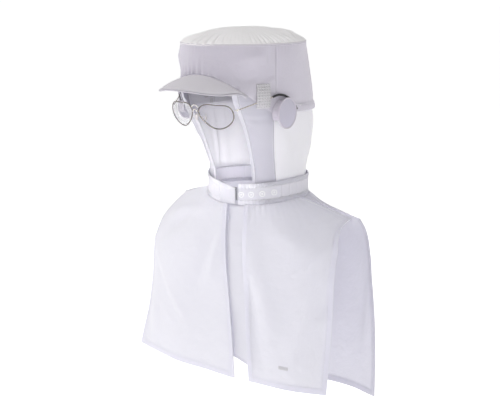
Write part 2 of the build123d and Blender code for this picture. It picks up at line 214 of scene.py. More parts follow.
def ticks(length, step, first=0.0, last=0.0):
    """Places from 0 to 1 about a step apart, with extra ones where a hem ends at either side."""
    places = list(np.linspace(0, 1, max(3, round(length / step)) + 1))
    for hem, end in ((first, 0.0), (last, 1.0)):
        if hem:
            places += [abs(end - (hem + nudge) / length) for nudge in (-0.7, 0.0, 0.7)]
            places += [abs(end - 0.8 / length)]
    return np.unique(np.round(places, 5))


def lattice(across, down):
    """Grids u, v from two lists of places; a count stands for that many even ones from 0 to 1."""
    return np.meshgrid(*(np.linspace(0, 1, k) if isinstance(k, int) else k for k in (across, down)))


# ---- sheets: a grid of points [row, column] runs down its rows and across its columns
def gradient(p, axis, wrap=False):
    if not wrap:
        return np.gradient(p, axis=axis)
    padded = np.concatenate([np.take(p, [-1], axis), p, np.take(p, [0], axis)], axis)
    return np.take(np.gradient(padded, axis=axis), range(1, p.shape[axis] + 1), axis)


def normals(p, wrap=False):
    """Outward unit normals of a grid whose columns run from the front towards the left."""
    return unit(np.cross(gradient(p, 0), gradient(p, 1, wrap)))


def raised(p, height, wrap=False):
    return p + normals(p, wrap) * np.asarray(height)[..., None]


def lengths(p, axis):
    """Distance of each grid point from the first one along its row or column."""
    steps = np.linalg.norm(np.diff(p, axis=axis), axis=-1)
    start = np.zeros_like(np.take(steps, [0], axis))
    return np.concatenate([start, np.cumsum(steps, axis)], axis)


def edge_distance(p, side):
    """Distance of each grid point from one side: left, right, top or bottom of the grid."""
    run = lengths(p, 1 if side in ("left", "right") else 0)
    if side in ("left", "top"):
        return run
    return (run[:, -1:] if side == "right" else run[-1:]) - run


def hem_share(p, sides, width=HEM, slits=()):
    """1 where a sheet is doubled over along its sides, and 0 elsewhere; slits start below the yoke."""
    fold = np.zeros(p.shape[:2])
    for side in sides:
        doubled = 1 - ramp(edge_distance(p, side), width - 0.7, width + 0.4)
        if side in slits:
            doubled *= ramp(np.arange(len(p)), YOKE_ROWS - 3, YOKE_ROWS)[:, None]
        fold = np.maximum(fold, doubled)
    return fold


def inset(p, side, distance):
    """Line of points and normals at a distance from one side of a grid."""
    run, n = edge_distance(p, side), normals(p)
    if side in ("left", "right"):
        run, p, n = run.T, p.swapaxes(0, 1), n.swapaxes(0, 1)
    if side in ("right", "bottom"):
        run, p, n = run[::-1], p[::-1], n[::-1]
    return [np.array([sample(distance, run[:, j], values[:, j]) for j in range(p.shape[1])])
            for values in (p, n)]


def ridge(p, start, end, width, height):
    """Height of a soft fold from start to end that dies away at both ends."""
    start, end = np.array(start, float), np.array(end, float)
    along = end - start
    t = np.clip(((p - start) @ along) / (along @ along), 0, 1)
    away = np.linalg.norm(p - start - t[..., None] * along, axis=-1)
    return height * bell(away, width) * np.sin(pi * t) ** 0.8


def ridges(p, folds):
    return sum(ridge(p, *fold) for fold in folds)


def ripple(p, scale, height, seed):
    """Smooth random height over space, with waves of about the given length."""
    random = np.random.default_rng(seed)
    total = np.zeros(p.shape[:-1])
    for _ in range(7):
        direction = unit(random.normal(size=3))
        wave = scale * random.uniform(0.7, 1.5)
        total += np.sin(p @ direction * 2 * pi / wave + random.uniform(0, 2 * pi))
    return height * total / 2.6


def gathers(along, pitch, seed):
    """Uneven little pleats along a line, from about -1 to 1."""
    random = np.random.default_rng(seed)
    phase = random.uniform(0, 2 * pi, 4)
    drift = (1.1 * np.sin(along / (5.3 * pitch) + phase[0])
             + 0.7 * np.sin(along / (2.1 * pitch) + phase[1]))
    size = 0.7 + 0.3 * np.sin(along / (3.7 * pitch) + phase[2])
    return size * np.sin(2 * pi * along / pitch + drift + phase[3])


def closed(p):
    """The grid of a sheet that runs all the way round, with its first column again at its end."""
    return np.concatenate([p, p[:, :1]], 1)


def mirrored(p):
    """The same sheet on the wearer's right, its columns turned so that its normals stay outward."""
    return (p * MIRROR)[:, ::-1]


# ---- meshes
def new_object(name, data):
    made = bpy.data.objects.new(name, data)
    bpy.context.scene.collection.objects.link(made)
    return made


def new_mesh(name, verts, faces, uvs=None, level=0):
    """Mesh object from millimetres; uvs gives one pair for each corner of each face, in metres."""
    mesh = bpy.data.meshes.new(name)
    mesh.from_pydata((np.asarray(verts) * MM).tolist(), [], faces)
    if uvs is not None:
        layer = mesh.uv_layers.new(name="cloth")
        layer.data.foreach_set("uv", np.asarray(uvs, np.float32).ravel())
    mesh.shade_smooth()
    thing = new_object(name, mesh)
    if level:
        modifier = thing.modifiers.new("round", "SUBSURF")
        modifier.levels = modifier.render_levels = level
    return thing


def shell(name, p, thick, wrap=False, level=0, grain=None, pole=False):
    """Closed mesh of a sheet; grain lays out its weave in metres, pole closes a patch's centre."""
    rows, cols = p.shape[:2]
    half = np.asarray(thick)[..., None] / 2
    n = normals(p, wrap)
    verts = np.concatenate([(p + n * half).reshape(-1, 3), (p - n * half).reshape(-1, 3)])
    if grain is None:
        grain = np.stack(np.meshgrid(lengths(p, 1).mean(0), lengths(p, 0).mean(1)), -1) * MM
    back = rows * cols
    faces, uvs = [], []

    def corner(i, j, layer):
        return i * cols + j % cols + layer * back

    def add(corners):
        faces.append([corner(i, j, layer) for i, j, layer in corners])
        uvs.extend(grain[i, j] for i, j, layer in corners)

    def rim_face(a, b):
        add([(*a, 0), (*b, 0), (*b, 1), (*a, 1)])

    spans = cols if wrap else cols - 1
    for i in range(rows - 1):
        for j in range(spans):
            add([(i, j, 0), (i + 1, j, 0), (i + 1, j + 1, 0), (i, j + 1, 0)])
            add([(i, j, 1), (i, j + 1, 1), (i + 1, j + 1, 1), (i + 1, j, 1)])
    if pole:
        add([(0, j, 0) for j in range(cols)])
        add([(0, j, 1) for j in reversed(range(cols))])
    for j in range(spans):
        if not pole:
            rim_face((0, j), (0, j + 1))
        rim_face((rows - 1, j + 1), (rows - 1, j))
    if not wrap:
        for i in range(rows - 1):
            rim_face((i, cols - 1), (i + 1, cols - 1))
            rim_face((i + 1, 0), (i, 0))
    return new_mesh(name, verts, faces, uvs, level)


def tube(name, line, radius, sides=10, wrap=False):
    """Round tube along a line; wrap joins its ends."""
    count = len(line)
    tangent = unit(gradient(line, 0, wrap))
    up = np.array([0, 0, 1.0]) if abs(tangent[:, 2]).max() < 0.9 else np.array([1.0, 0, 0])
    side = unit(np.cross(tangent, up))
    top = np.cross(side, tangent)
    turn = np.linspace(0, 2 * pi, sides, endpoint=False)
    ring = side[:, None] * np.cos(turn)[None, :, None] + top[:, None] * np.sin(turn)[None, :, None]
    verts = (line[:, None] + ring * radius[:, None, None]).reshape(-1, 3)
    faces, uvs = [], []
    run = line_length(line) * MM
    run = np.append(run, run[-1] + MM)
    for i in range(count if wrap else count - 1):
        for j in range(sides):
            pairs = [(i, j), (i + 1, j), (i + 1, j + 1), (i, j + 1)]
            faces.append([(a % count) * sides + b % sides for a, b in pairs])
            uvs += [(run[a], b * 2 * pi * radius.mean() * MM / sides) for a, b in pairs]
    if not wrap:
        faces += [list(range(sides))[::-1], [(count - 1) * sides + j for j in range(sides)]]
        uvs += [(0, 0)] * 2 * sides
    return new_mesh(name, verts, faces, uvs)


def disc(rings, segments):
    """Angles and radius shares of a round patch, from a tiny first ring outward."""
    return lattice(np.linspace(0, 2 * pi, segments, endpoint=False), np.linspace(0.015, 1, rings))


def stitches(name, runs, lift):
    """Rows of lock stitches: each run is a line of points with normals, on one side of the cloth."""
    verts, faces = [], []
    for line, normal in runs:
        run = line_length(line)
        places = np.arange(1.5, run[-1] - 1.5, STITCH_PITCH)
        at, up = sample(places, run, line), sample(places, run, normal)
        along = unit(sample(places + 0.5, run, line) - at)
        for centre, t, s, n in zip(at + up * lift, along * STITCH_LENGTH,
                                   np.cross(along, up) * STITCH_R, up * STITCH_R):
            base = len(verts)
            verts.append(centre - t / 2 - n)
            for middle in (centre - t / 4, centre + t / 4):
                verts += [middle + s, middle + n, middle - s, middle - n]
            verts.append(centre + t / 2 - n)
            for k in range(4):
                m = (k + 1) % 4
                faces.append([base, base + 1 + m, base + 1 + k])
                faces.append([base + 1 + k, base + 1 + m, base + 5 + m, base + 5 + k])
                faces.append([base + 9, base + 5 + k, base + 5 + m])
    return new_mesh(name, verts, faces)


# ---- materials
def feed(tree, node, inputs):
    """Links or sets the inputs of a node."""
    for key, value in inputs:
        if isinstance(value, bpy.types.NodeSocket):
            tree.links.new(value, node.inputs[key])
        else:
            node.inputs[key].default_value = value


def add_node(tree, kind, inputs=(), **settings):
    made = tree.nodes.new("ShaderNode" + kind)
    for key, value in settings.items():
        setattr(made, key, value)
    feed(tree, made, inputs)
    return made


def blank_material(name, place):
    made = bpy.data.materials.new(name)
    made.use_nodes = True
    tree = made.node_tree
    place = add_node(tree, "TexCoord").outputs[place]
    return made, tree, tree.nodes["Principled BSDF"], place


def colour_ramp(tree, factor, dark, light):
    made = add_node(tree, "ValToRGB", [("Fac", factor)])
    for stop, position, colour in zip(made.color_ramp.elements, (0.3, 0.7), (dark, light)):
        stop.position, stop.color = position, (*colour, 1)
    return made.outputs["Color"]


def noise(tree, place, scale, detail=3.0):
    inputs = [("Vector", place), ("Scale", scale), ("Detail", detail)]
    return add_node(tree, "TexNoise", inputs).outputs["Fac"]


def bands(tree, place, pitch, direction):
    """Stripes across the cloth, or along it."""
    made = add_node(tree, "TexWave",
                    [("Vector", place), ("Scale", pi / 10 / (pitch * MM)), ("Distortion", 0.6)],
                    bands_direction=direction)
    return made.outputs["Fac"]


def combine(tree, a, b, operation):
    return add_node(tree, "Math", [(0, a), (1, b)], operation=operation).outputs[0]


def bumped(tree, height, depth, below=None):
    inputs = [("Height", height), ("Distance", depth * MM), ("Strength", 1.0)]
    if below is not None:
        inputs.append(("Normal", below))
    return add_node(tree, "Bump", inputs).outputs["Normal"]


def spread(tree, factor, low, high):
    made = add_node(tree, "MapRange", [("Value", factor), ("To Min", low), ("To Max", high)])
    return made.outputs[0]


def darker(colour, share):
    return tuple(c * share for c in colour)


def cloth(name, light, pitch=0.6, relief=0.05, crumple=0.8, fade=0.95, fold_shade=1.0, thin=0.0,
          weave=0.3):
    """Woven cloth: crossing threads, small crumples, a faint change of tone, and painted shade where its
    fold attribute is set.
    """
    made, tree, shader, place = blank_material(name, "UV")
    dark = darker(light, fade)
    threads = combine(tree, bands(tree, place, pitch, "X"), bands(tree, place, pitch, "Y"), "MAXIMUM")
    tone = combine(tree, combine(tree, noise(tree, place, 9.0), 0.6, "MULTIPLY"),
                   combine(tree, threads, weave, "MULTIPLY"), "ADD")
    colour = colour_ramp(tree, tone, dark, light)
    # painted shade: the colour is darkened where the fold attribute is set
    if fold_shade != 1.0:
        fold_shade_mask = add_node(tree, "Attribute", attribute_name="fold").outputs["Fac"]
        fold_shade_colour = colour_ramp(tree, tone, darker(dark, fold_shade), darker(light, fold_shade))
        colour = add_node(tree, "Mix", [(0, fold_shade_mask), (6, colour), (7, fold_shade_colour)],
                          data_type="RGBA").outputs[2]
    crumples = bumped(tree, noise(tree, place, 48.0, 4.0), crumple)
    feed(tree, shader, [
        ("Base Color", colour), ("Roughness", spread(tree, noise(tree, place, 160.0), 0.70, 0.90)),
        ("Normal", bumped(tree, threads, relief, crumples)), ("Specular IOR Level", 0.25),
        ("Sheen Weight", 0.2), ("Sheen Roughness", 0.5), ("Subsurface Weight", thin),
        ("Subsurface Radius", (1.0, 1.0, 1.0)), ("Subsurface Scale", LIGHT_REACH * MM)])
    return made


def hard(name, light, dark, gloss, metallic=0.0, patch=120.0, speck=900.0, relief=0.04):
    """Moulded plastic or rubber, or plated wire, with a fine uneven gloss."""
    made, tree, shader, place = blank_material(name, "Object")
    specks = noise(tree, place, speck)
    feed(tree, shader, [
        ("Base Color", colour_ramp(tree, noise(tree, place, patch), dark, light)),
        ("Roughness", spread(tree, specks, *gloss)), ("Normal", bumped(tree, specks, relief)),
        ("Metallic", metallic)])
    return made


def lens_material():
    made, tree, shader, place = blank_material("lens_glass", "Object")
    tint = colour_ramp(tree, noise(tree, place, 30.0), (0.93, 0.92, 0.955), (0.96, 0.95, 0.975))
    feed(tree, shader, [
        ("Base Color", tint), ("Roughness", spread(tree, noise(tree, place, 200.0), 0.0, 0.03)),
        ("Transmission Weight", 1.0), ("IOR", 1.18), ("Alpha", 0.45)])
    return made


# light colour, then what differs from plain white shirting
TAPE = dict(pitch=1.2, relief=0.18, crumple=0.3, thin=0.8)
CLOTHS = {
    "crown_cloth": ((0.98, 0.958, 0.965), dict(crumple=1.2, thin=0.3)),
    # the crown's cord is painted dark for the shade along the crown seam
    "piping": ((0.66, 0.63, 0.68), dict(pitch=0.8)),
    # the cap's wall is the crown's white cloth, painted darker as shade
    "cap_cloth": ((0.60, 0.57, 0.645), dict(crumple=1.8, thin=0.45)),
    "lining": ((0.88, 0.87, 0.93), dict(pitch=1.2, relief=0.2, thin=0.9)),
    "elastic": ((0.79, 0.775, 0.84), dict(pitch=1.1, relief=0.25, thin=0.9)),
    "visor_cloth": ((0.705, 0.68, 0.725), dict(crumple=0.3)),
    "visor_edge": ((0.53, 0.51, 0.565), dict(pitch=0.8, crumple=0.2)),
    "binding": ((0.66, 0.65, 0.715), dict(pitch=0.8, crumple=0.2, thin=0.8)),
    "hood_cloth": ((0.885, 0.865, 0.995), dict(thin=1.0)),
    "neck_tape": ((0.80, 0.79, 0.87), TAPE),
    # the snap tape is painted in deep shadow where it is tucked under the tab
    "snap_tape_cloth": ((0.77, 0.76, 0.83), dict(TAPE, fold_shade=0.42)),
    # the casings are painted darker from the front round towards the back, as shade
    "casing": ((0.86, 0.85, 0.93), dict(crumple=1, fold_shade=0.68, thin=0.9)),
    # the cape, back and placket cloths are painted a little darker where hemmed double, as shade
    "cape_cloth": ((0.81, 0.80, 0.905), dict(fold_shade=0.985, thin=0.85, crumple=1.8)),
    # the back panel is the cape's cloth, painted darker as shade
    "shaded_back_cloth": ((0.69, 0.68, 0.755), dict(fold_shade=0.94, thin=0.85, crumple=1.8)),
    "placket_cloth": ((0.79, 0.78, 0.875), dict(fold_shade=0.96, thin=0.85)),
    "label": ((0.71, 0.70, 0.76), dict(pitch=0.7, thin=0.5)),
    # the cheeks are the hood's white cloth, painted darker as shade
    "cheek_cloth": ((0.54, 0.53, 0.595), dict(thin=0.9)),
    "loop_cloth": ((0.61, 0.595, 0.625), dict(pitch=4.2, relief=0.9, fade=0.74, weave=0.75, thin=0.4)),
    "ear_mesh_cloth": ((0.59, 0.565, 0.675), dict(pitch=1.3, relief=0.3, fade=0.86, thin=0.5)),
    "ear_binding": ((0.60, 0.56, 0.64), dict(pitch=0.8, thin=0.5)),
    "thread": ((0.88, 0.87, 0.92), dict(pitch=0.4, crumple=0.1)),
}
# light and dark colour, then the range of the gloss
MOULDED = {
    "visor_board": ((0.86, 0.86, 0.88), (0.80, 0.80, 0.82), (0.5, 0.6)),
    "snap_plastic": ((0.97, 0.97, 0.99), (0.93, 0.93, 0.96), (0.12, 0.2)),
    "pad_silicone": ((0.72, 0.68, 0.69), (0.60, 0.56, 0.58), (0.2, 0.3)),
    "tip_plastic": ((0.030, 0.028, 0.032), (0.012, 0.012, 0.014), (0.18, 0.30)),
}
PLATED = dict(gloss=(0.16, 0.30), metallic=1.0, patch=260.0, speck=1500.0, relief=0.02)
METALS = {
    "gold_metal": ((0.95, 0.93, 0.90), (0.80, 0.76, 0.71)),
    "temple_metal": ((0.84, 0.79, 0.72), (0.60, 0.54, 0.47)),
    "rim_metal": ((0.33, 0.29, 0.27), (0.14, 0.12, 0.115)),
}
MATERIALS = {name: cloth(name, colour, **more) for name, (colour, more) in CLOTHS.items()}
MATERIALS |= {name: hard(name, *finish) for name, finish in MOULDED.items()}
MATERIALS |= {name: hard(name, *colours, **PLATED) for name, colours in METALS.items()}
MATERIALS["lens"] = lens_material()


# ---- putting pieces on the frame
def place_piece(piece, slot, body, nodes=(), material=None):
    """Gives a piece its finish, and its body unless it is a cape panel, which only has its transform
    baked in.
    """
    piece.data.materials.append(MATERIALS[material or slot])
    if body in ("left_front", "right_front", "back"):
        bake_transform(piece)
    else:
        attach(piece, body)
    if nodes:
        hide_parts(*nodes)
    return piece


def cut_size(p, wrap):
    """Width, length and area of the flat cloth, in metres."""
    looped = closed(p) if wrap else p
    width = lengths(looped, 1)[:, -1].max() * MM
    length = lengths(looped, 0)[-1].max() * MM
    a, b, c, d = looped[:-1, :-1], looped[:-1, 1:], looped[1:, 1:], looped[1:, :-1]
    area = np.linalg.norm(np.cross(c - a, d - b), axis=-1).sum() / 2 * MM**2
    return width, length, area


def stitch(sides, distance):
    """Rows of stitches at a distance from each of the sides named."""
    return [(side, distance) for side in sides.split()]


def sew(name, p, thick, slot, nodes, rests_on, seams=(), hems=None, wrap=False, level=0,
        grain=None, pole=False, flat=None, material=None, fold=None, body="hood", base=None):
    """One sheet of cloth with its rows of stitches, which follow base if it is given."""
    if hems:
        fold = hem_share(p, *hems)
        thick = thick + HEM_EXTRA * fold
    piece = shell(name, p, thick, wrap, level, grain, pole)
    if fold is not None:
        # the fold attribute marks where the material paints shade
        attribute = piece.data.attributes.new("fold", "FLOAT", "POINT")
        attribute.data.foreach_set("value", np.tile(fold.ravel(), 2).astype(np.float32))
    place_piece(piece, slot, body, nodes, material)
    sewn = []
    if seams:
        runs = [inset(p if base is None else base, side, distance) for side, distance in seams]
        lift = float(np.max(thick)) / 2 + STITCH_LIFT
        sewn = [place_piece(stitches(name + "_stitches", runs, lift), slot, body, material="thread")]
    width, length, area = cut_size(p, wrap)
    if flat:
        width, length = flat


# ---- cap
def cap(angle, z, out=0.0):
    t = (z - CAP_BOTTOM) / (90.0 - CAP_BOTTOM)
    x, y = oval(mix(*CAP_SIDE, t), mix(*CAP_FRONT, t), mix(*CAP_BACK, t), angle, out=out)
    return point(x, y, z)


def arch(angle, span):
    """1 at the front, falling to 0 at the span."""
    return np.maximum(0.0, 1 - (angle / span) ** 2) ** 1.3


def wall_bottom(angle):
    return mix(CAP_BOTTOM, VISOR_SEAM_TOP, arch(angle, VISOR_SEAM_SPAN))


def rear_bottom(angle):
    from_seam = np.minimum(1.0, (90 - np.abs(angle - 180) / 1.2) / 60)
    return mix(CAP_BOTTOM, REAR_BOTTOM, np.sin(np.maximum(0.0, from_seam) * pi / 2))


def full_gathers(angle):
    """Where the crown is gathered most: over the forehead and behind both side seams."""
    turn = turned(angle)
    return (0.10 + 1.1 * bell(turn + 3, 17) + 0.9 * bell(turn - 82, 22) + 0.9 * bell(turn + 82, 22)
            + 0.5 * bell(np.abs(turn) - 180, 25))


def rim(angle, out=0.0):
    return oval(CAP_SIDE[1], CAP_FRONT[1], CAP_BACK[1], angle, out=out)


def make_crown():
    turn, share = disc(46, 460)
    angle = np.degrees(turn)
    x, y = rim(angle)
    z = CAP_TOP + 0.8 + CROWN_RISE * (1 - share**CROWN_CENTRE_FLAT)
    inward = (1 - share) * CROWN_REACH
    over = bell(turned(angle + 10), 36) * fading(inward, 3.0)
    reach = share * (1 + 0.017 * over)
    p = point(x * reach, y * reach, z - 1.6 * over)
    slanted = angle * RIM_RUN + 0.1 * inward
    pleats = gathers(slanted, 6.4, 3) + 0.6 * gathers(slanted, 11.0, 6)
    height = 3.1 * pleats * full_gathers(angle) * fading(inward, 19) * ramp(inward, -1.0, 3.0)
    height += 1.3 * ramp(inward, 0.0, 5.0) * fading(inward, 22)
    height += ripple(p, 75, 0.8, 5) * (1 - share**8)
    height += ridges(p, [((78, 16, 95), (34, 34, 111), 5.0, 3.2),
                         ((72, 36, 96), (26, 58, 108), 4.5, 2.8),
                         ((-20, -92, 96), (-8, -52, 108), 5.0, 1.2),
                         ((60, 58, 96), (22, 76, 106), 4.5, 1.4),
                         ((-74, 30, 97), (-36, 44, 110), 4.5, 1.6)])
    p = raised(p, height, wrap=True)
    sew("crown", p, DOUBLE, "crown_cloth", ["crown_panel"], ["cap_front", "cap_rear"],
        wrap=True, grain=closed(p)[..., :2] * MM, pole=True, flat=(0.190, 0.232))
    turn = np.linspace(0, 360, 260, endpoint=False)
    x, y = rim(turn, 0.4)
    line = point(x, y, CAP_TOP + 0.25 + 0.18 * gathers(turn * RIM_RUN, 6.0, 4))
    seam = tube("crown_cord", line, 0.85 + 0.10 * gathers(turn * RIM_RUN, 4.1, 8), wrap=True)
    place_piece(seam, "piping", "hood", ["crown_piping"])


def cap_grid(start, stop, low, columns):
    angle, v = lattice(np.linspace(start, stop, columns), ticks(95, 2.2, last=HEM))
    return angle, cap(angle, mix(CAP_TOP, low(angle), v))


def cap_relief(p, angle, low, seed):
    """Slack of the cap's wall: drawn up under the crown and over its lower seam."""
    z = p[..., 2]
    height = 0.8 * gathers(angle * 1.65, 7.2, seed) * full_gathers(angle) * fading(CAP_TOP - z, 12)
    over_visor = 1 - ramp(np.abs(angle), 34, 52)
    fuller = 0.55 + 0.45 * np.cos(np.radians(3 * (angle + 38)))
    puckers = gathers(angle * 1.75, 12.0, seed + 1) * fuller
    height += VISOR_PUCKERS * puckers * fading(z - low(angle), 8) * over_visor
    height += ripple(p, 54, 1.0, seed + 2) * ramp(CAP_TOP - z, 0, 18)
    return height


def seam_groove(p):
    """Depth of the grooves at the cap's two side seams."""
    return 0.7 * bell(np.minimum(edge_distance(p, "left"), edge_distance(p, "right")), 1.8)


def beside_temple(angle, z):
    """Share of the wall's slack left where the spectacles' temples and their loops lie against it."""
    return 1 - 0.9 * bell(np.abs(angle) - 75, 25, 6) * bell(z - 14, 25, 4)


def make_cap():
    angle, p = cap_grid(-SIDE_SEAM, SIDE_SEAM, wall_bottom, 210)
    slack = cap_relief(p, angle, wall_bottom, 11)
    folds = [((60, -78, 14), (82, -30, 44), 6.5, 1.7), ((58, -74, 20), (72, -50, 58), 6.0, 1.2),
             ((30, -97, 66), (76, -44, 74), 9.0, 1.1), ((48, -84, 42), (74, -48, 50), 8.0, -1.1),
             ((76, -42, 4), (84, -24, 6), 3.5, 1.5), ((70, -52, 2), (84, -22, 13), 3.0, 1.1)]
    folds += [(MIRROR * start, MIRROR * end, width, height) for start, end, width, height in folds]
    slack += CAP_SLACK * ridges(p, folds)
    slack -= seam_groove(p)
    slack = np.where(slack < 0, -DEEPEST * np.tanh(-slack / DEEPEST), slack)
    p = raised(p, slack * beside_temple(angle, p[..., 2]))
    sew("cap_front", p, SINGLE, "cap_cloth", ["cap_front_panel"],
        ["sweat_lining", "visor_top"], stitch("left right", NEEDLE + 0.2) + stitch("bottom top", NEEDLE),
        flat=(0.268, 0.104))
    angle, p = cap_grid(SIDE_SEAM, 360 - SIDE_SEAM, rear_bottom, 300)
    height = 0.7 * gathers(angle * REAR_RUN, 7.0, 21) * full_gathers(angle)
    z = p[..., 2]
    height *= fading(CAP_TOP - z, 7)
    height += ripple(p, 84, 1.2, 22) * ramp(CAP_TOP - z, 0, 18)
    low = z - rear_bottom(angle)
    height += (0.8 * gathers(angle * REAR_RUN, 9.0, 23) * fading(low, 10)
               * ramp(np.abs(angle - 180), 100, 60))
    height += bell(low - 5, 5) - 0.8 * bell(low - 13, 4)
    height -= seam_groove(p)
    turn = np.abs(turned(angle))
    under_tip = bell(turn - 92, 15, 4) * bell(z + 3, 11, 4)
    p = raised(p, height * beside_temple(turn, z) - 1.3 * under_tip)
    sew("cap_rear", p, SINGLE, "cap_cloth", ["cap_rear_panel"], ["rear_shirring"],
        stitch("left right", NEEDLE + 0.2) + stitch("bottom", REAR_HEM - 1) + stitch("top", NEEDLE),
        hems=(["bottom"], REAR_HEM), flat=(0.372, 0.110))


def make_cap_linings():
    angle, v = lattice(np.linspace(-70, 70, 90), 9)
    z = mix(14, 22, arch(angle, 72)) + 24 * (1 - v)
    p = cap(angle, z, -2.4)
    sew("sweat_lining", raised(p, 0.25 * gathers(angle * 1.7, 3.0, 31)), KNIT, "lining",
        ["sweatband"], ["cap_front"], stitch("top bottom", 1.6), base=p)
    angle, v = lattice(np.linspace(100, 260, 160), 7)
    p = cap(angle, -9.0 + 10 * (1 - v), -1.5)
    sew("rear_shirring", raised(p, 0.4 * gathers(angle * 2.0, 3.6, 32)), KNIT, "elastic",
        ["rear_elastic"], ["cap_rear"])


# ---- visor
def visor_point(across, down, drop, margin):
    """across is -1 to 1; down is 0 at the seam and 1 at a margin short of the outer edge."""
    half_width, root, reach = VISOR_EDGE
    angle = VISOR_HALF * across
    seam = cap(angle, wall_bottom(angle), 1.8)
    s, c = np.sin(np.radians(86 * across)), np.cos(np.radians(86 * across))
    edge = point(half_width * s, -root - reach * c, mix(*VISOR_EDGE_Z, np.abs(c) ** 3))
    away = (edge - seam) * (0.94 - 0.58 * ramp(np.abs(across), 0.62, 0.97))[..., None]
    down = down * np.maximum(0.35, 1 - margin / np.linalg.norm(away, axis=-1))
    lift = 10 * down * (1 - down) * (1 - across**2) - drop
    return seam + away * down[..., None] + point(0, 0, lift)


def make_visor():
    across, down = lattice(np.linspace(-0.985, 0.985, 120), ticks(62, 2.6, last=4))
    p = visor_point(across, down, 0.5, 0.2)
    p = raised(p, 0.5 * np.sin(pi * down) + ripple(p, 60, 0.25, 41))
    sew("visor_top", p, DOUBLE, "visor_cloth", ["visor_upper_cover"],
        ["visor_stiffener"], stitch("bottom", 2.6) + stitch("top", 1.4))
    p = visor_point(across, down, 2 * VISOR_LAYER, 3.0)
    sew("visor_under", p, DOUBLE, "visor_cloth", ["visor_lower_cover"],
        ["visor_stiffener"])
    across, down = lattice(np.linspace(-0.93, 0.93, 90), np.linspace(0.06, 0.94, 24))
    board = shell("visor_board", visor_point(across, down, VISOR_LAYER + 0.3, 3.0), BOARD)
    place_piece(board, "visor_board", "hood", ["visor_stiffener"])
    across = np.linspace(-1, 1, 150)
    line = visor_point(across, np.ones_like(across), VISOR_LAYER, 0.0)
    tape = tube("visor_tape", line, 1.1 + 0.05 * gathers(across * 170, 5.0, 42), sides=14)
    place_piece(tape, "binding", "hood", ["visor_binding"], "visor_edge")


# ---- hood
def cheek(across, down):
    front, back = face_line(down), seam_line(down)
    chord = back - front
    width = np.linalg.norm(chord, axis=-1)
    outward = unit(point(chord[..., 1], -chord[..., 0], 0.0))
    bow = smooth(CHEEK_BOW, front[..., 2])[0] * width * 4 * across * (1 - across)
    return front + chord * across[..., None] + outward * bow[..., None]


def tucked(p, across):
    """The sheet with its ends carried on: up inside the cap, and down inside the neck band."""
    rise, fall = np.linspace(1, 0, 8)[:-1, None, None], np.linspace(0, 1, 12)[1:, None, None]
    lean = mix(np.array([0.6, -5.0, 15.0]), np.array([-1.5, 0.0, 15.0]), across[:1, :, None])
    return np.concatenate([p[:1] + rise * lean, p, p[-1:] + fall * np.array([0.0, 0.0, -BAND_COVERED])])


def both_sides(name, p, thick, slot, node, rests_on, seams=(), level=0):
    """The same sheet on the wearer's left and, mirrored, on the right; seams are the left one's."""
    flipped = {"left": "right", "right": "left"}
    other = [(flipped.get(side, side), distance) for side, distance in seams]
    for side, grid, sewn in (("left", p, seams), ("right", mirrored(p), other)):
        sew(f"{side}_{name}", grid, thick, slot, [f"{side}_{node}"],
            [r.format(side=side) for r in rests_on], sewn, level=level)


def make_hood():
    across, down = lattice(ticks(60, 2.0) * 0.87 + TAPE_SHARE, 76)
    p, across = tucked(cheek(across, down), across), across[:1]
    z = p[..., 2]
    height = ripple(p, 46, 0.5, 51)
    height += (0.9 * bell(z + 9, 3.0) - 1.1 * bell(z + 16, 3.5)) * np.sin(pi * across)
    height += ridges(p, [((50, -62, -18), (70, -30, -24), 4.0, 1.4),
                         ((44, -52, -34), (66, -20, -52), 6.0, 0.9),
                         ((56, -24, -66), (50, -20, -108), 5.0, 0.8)])
    both_sides("cheek", raised(p, height), SINGLE, "cheek_cloth", "cheek_panel",
               ["top_casing", "cap_front"], stitch("right", 2.0) + stitch("left", 1.2))
    across, down = lattice(np.linspace(0, TAPE_SHARE, 7), 90)
    p = tucked(cheek(across, down), across)
    p = raised(p, 0.3 * np.sin(pi * across[:1] / TAPE_SHARE) + 0.12 * gathers(p[..., 2], 9.0, 52))
    both_sides("face_tape", p, BOUND, "binding", "face_binding", ["{side}_cheek"],
               stitch("right", 1.2), level=1)


def make_drape():
    u, v = lattice(190, np.linspace(0, DRAPE_SHARE, 66))
    z = mix(DRAPE_TOP, DRAPE_END, v)
    centre, side, front, back = smooth(DRAPE, z)
    seam = seam_line(v[:, 0])[:, None]
    start = np.degrees(np.arctan2(seam[..., 0] / side, (centre - seam[..., 1]) / front)) + 0.4
    angle = mix(start, 360 - start, u)
    x, y = oval(side, front, back, angle, centre)
    p = point(x, y, z)
    low = np.maximum(z - DRAPE_END, 0.0)
    around = np.radians(angle)
    soft = np.sin(around * 8 + 0.9 * np.sin(z / 34)) + 0.5 * np.sin(around * 17 + z / 50)
    edges = ramp(np.minimum(u, 1 - u), 0.0, 0.06)
    height = 1.2 * soft * edges * ramp(-z, 6, 60) * ramp(low, -12, 26)
    height += 0.9 * gathers(angle * 1.4, 7.0, 61) * fading(low, 11) * edges
    height += ripple(p, 64, 0.9, 62) * edges * ramp(z, -122, -100)
    height += ridges(p, [((80, 18, -30), (78, 26, -104), 7.0, 1.6),
                         ((78, 60, -20), (66, 74, -100), 8.0, 1.8),
                         ((-83, 26, -14), (-76, 36, -116), 3.4, -4.5),
                         ((-82, 38, -14), (-74, 47, -116), 6.0, 3.0),
                         ((-60, 84, -8), (-52, 84, -100), 9.0, 2.6)])
    sew("hood_drape", raised(p, height), SINGLE, "hood_cloth", ["rear_drape"],
        ["cap_rear", "top_casing"], stitch("left right", NEEDLE), flat=(0.395, 0.140), base=p)


